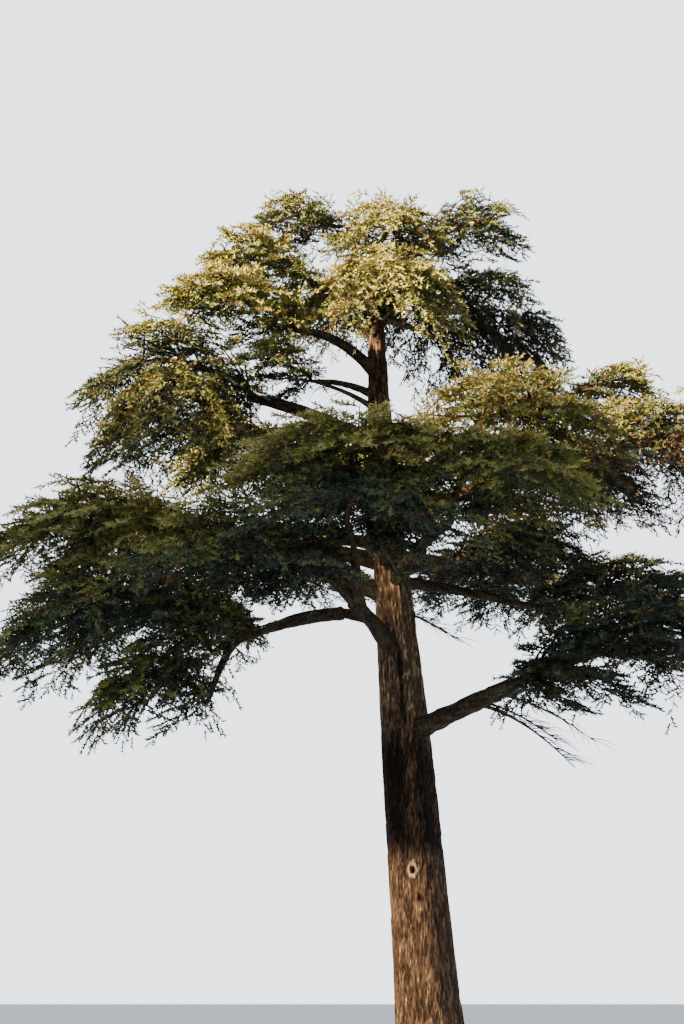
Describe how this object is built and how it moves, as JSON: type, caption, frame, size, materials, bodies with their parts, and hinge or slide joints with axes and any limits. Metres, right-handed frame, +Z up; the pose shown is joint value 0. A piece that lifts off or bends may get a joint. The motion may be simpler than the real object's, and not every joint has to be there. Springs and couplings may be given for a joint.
{
  "type": "cedar tree",
  "caption": "Mature cedar of Lebanon: stout leaning trunk with root flare, long level boughs and flat drooping tiers of needle foliage, full on all sides.",
  "frame": {"origin": "middle of the flat cut under the trunk, at ground level", "axes": "+Z up along the tree's height; +X to the right of the side that the picture shows; +Y away from that side"},
  "size_m": [16.828, 14.6023, 20.0561],
  "materials": {
    "trunk_bark": "rough fissured grey-brown bark, warmer and flaking up the trunk",
    "bough_bark": "rough dark grey-brown bark",
    "needles": "matte green needle sprays, yellow-green where the sun reaches"
  },
  "bodies": {
    "root": {"bough_back_left_low": "bough_bark", "bough_back_left_upper": "bough_bark", "bough_back_right_low": "bough_bark", "bough_back_right_upper": "bough_bark", "bough_back_upper": "bough_bark", "bough_dome_right": "bough_bark", "bough_front": "bough_bark", "bough_front_right": "bough_bark", "bough_left_back_low": "bough_bark", "bough_left_front_low": "bough_bark", "bough_left_hanging": "bough_bark", "bough_left_high": "bough_bark", "bough_left_inner": "bough_bark", "bough_left_low": "bough_bark", "bough_left_upper": "bough_bark", "bough_left_upper_low": "bough_bark", "bough_low_front": "bough_bark", "bough_low_front_left": "bough_bark", "bough_low_left": "bough_bark", "bough_low_right": "bough_bark", "bough_low_right_back": "bough_bark", "bough_mid_right": "bough_bark", "bough_right_leader": "bough_bark", "bough_right_upper": "bough_bark", "bough_top_left": "bough_bark", "bough_top_left_leader": "bough_bark", "bough_top_right": "bough_bark", "bough_top_right_weeping": "bough_bark", "foliage_back_left_low": "needles", "foliage_back_left_upper": "needles", "foliage_back_right_low": "needles", "foliage_back_right_upper": "needles", "foliage_back_upper": "needles", "foliage_dome_right": "needles", "foliage_front": "needles", "foliage_front_right": "needles", "foliage_left_back_low": "needles", "foliage_left_front_low": "needles", "foliage_left_hanging": "needles", "foliage_left_high": "needles", "foliage_left_inner": "needles", "foliage_left_low": "needles", "foliage_left_upper": "needles", "foliage_left_upper_low": "needles", "foliage_low_front": "needles", "foliage_low_front_left": "needles", "foliage_low_left": "needles", "foliage_low_right": "needles", "foliage_low_right_back": "needles", "foliage_mid_right": "needles", "foliage_right_leader": "needles", "foliage_right_upper": "needles", "foliage_top_back": "needles", "foliage_top_cascade": "needles", "foliage_top_dome": "needles", "foliage_top_left": "needles", "foliage_top_left_leader": "needles", "foliage_top_right": "needles", "foliage_top_right_weeping": "needles", "trunk": "trunk_bark"}
  },
  "joints": []
}
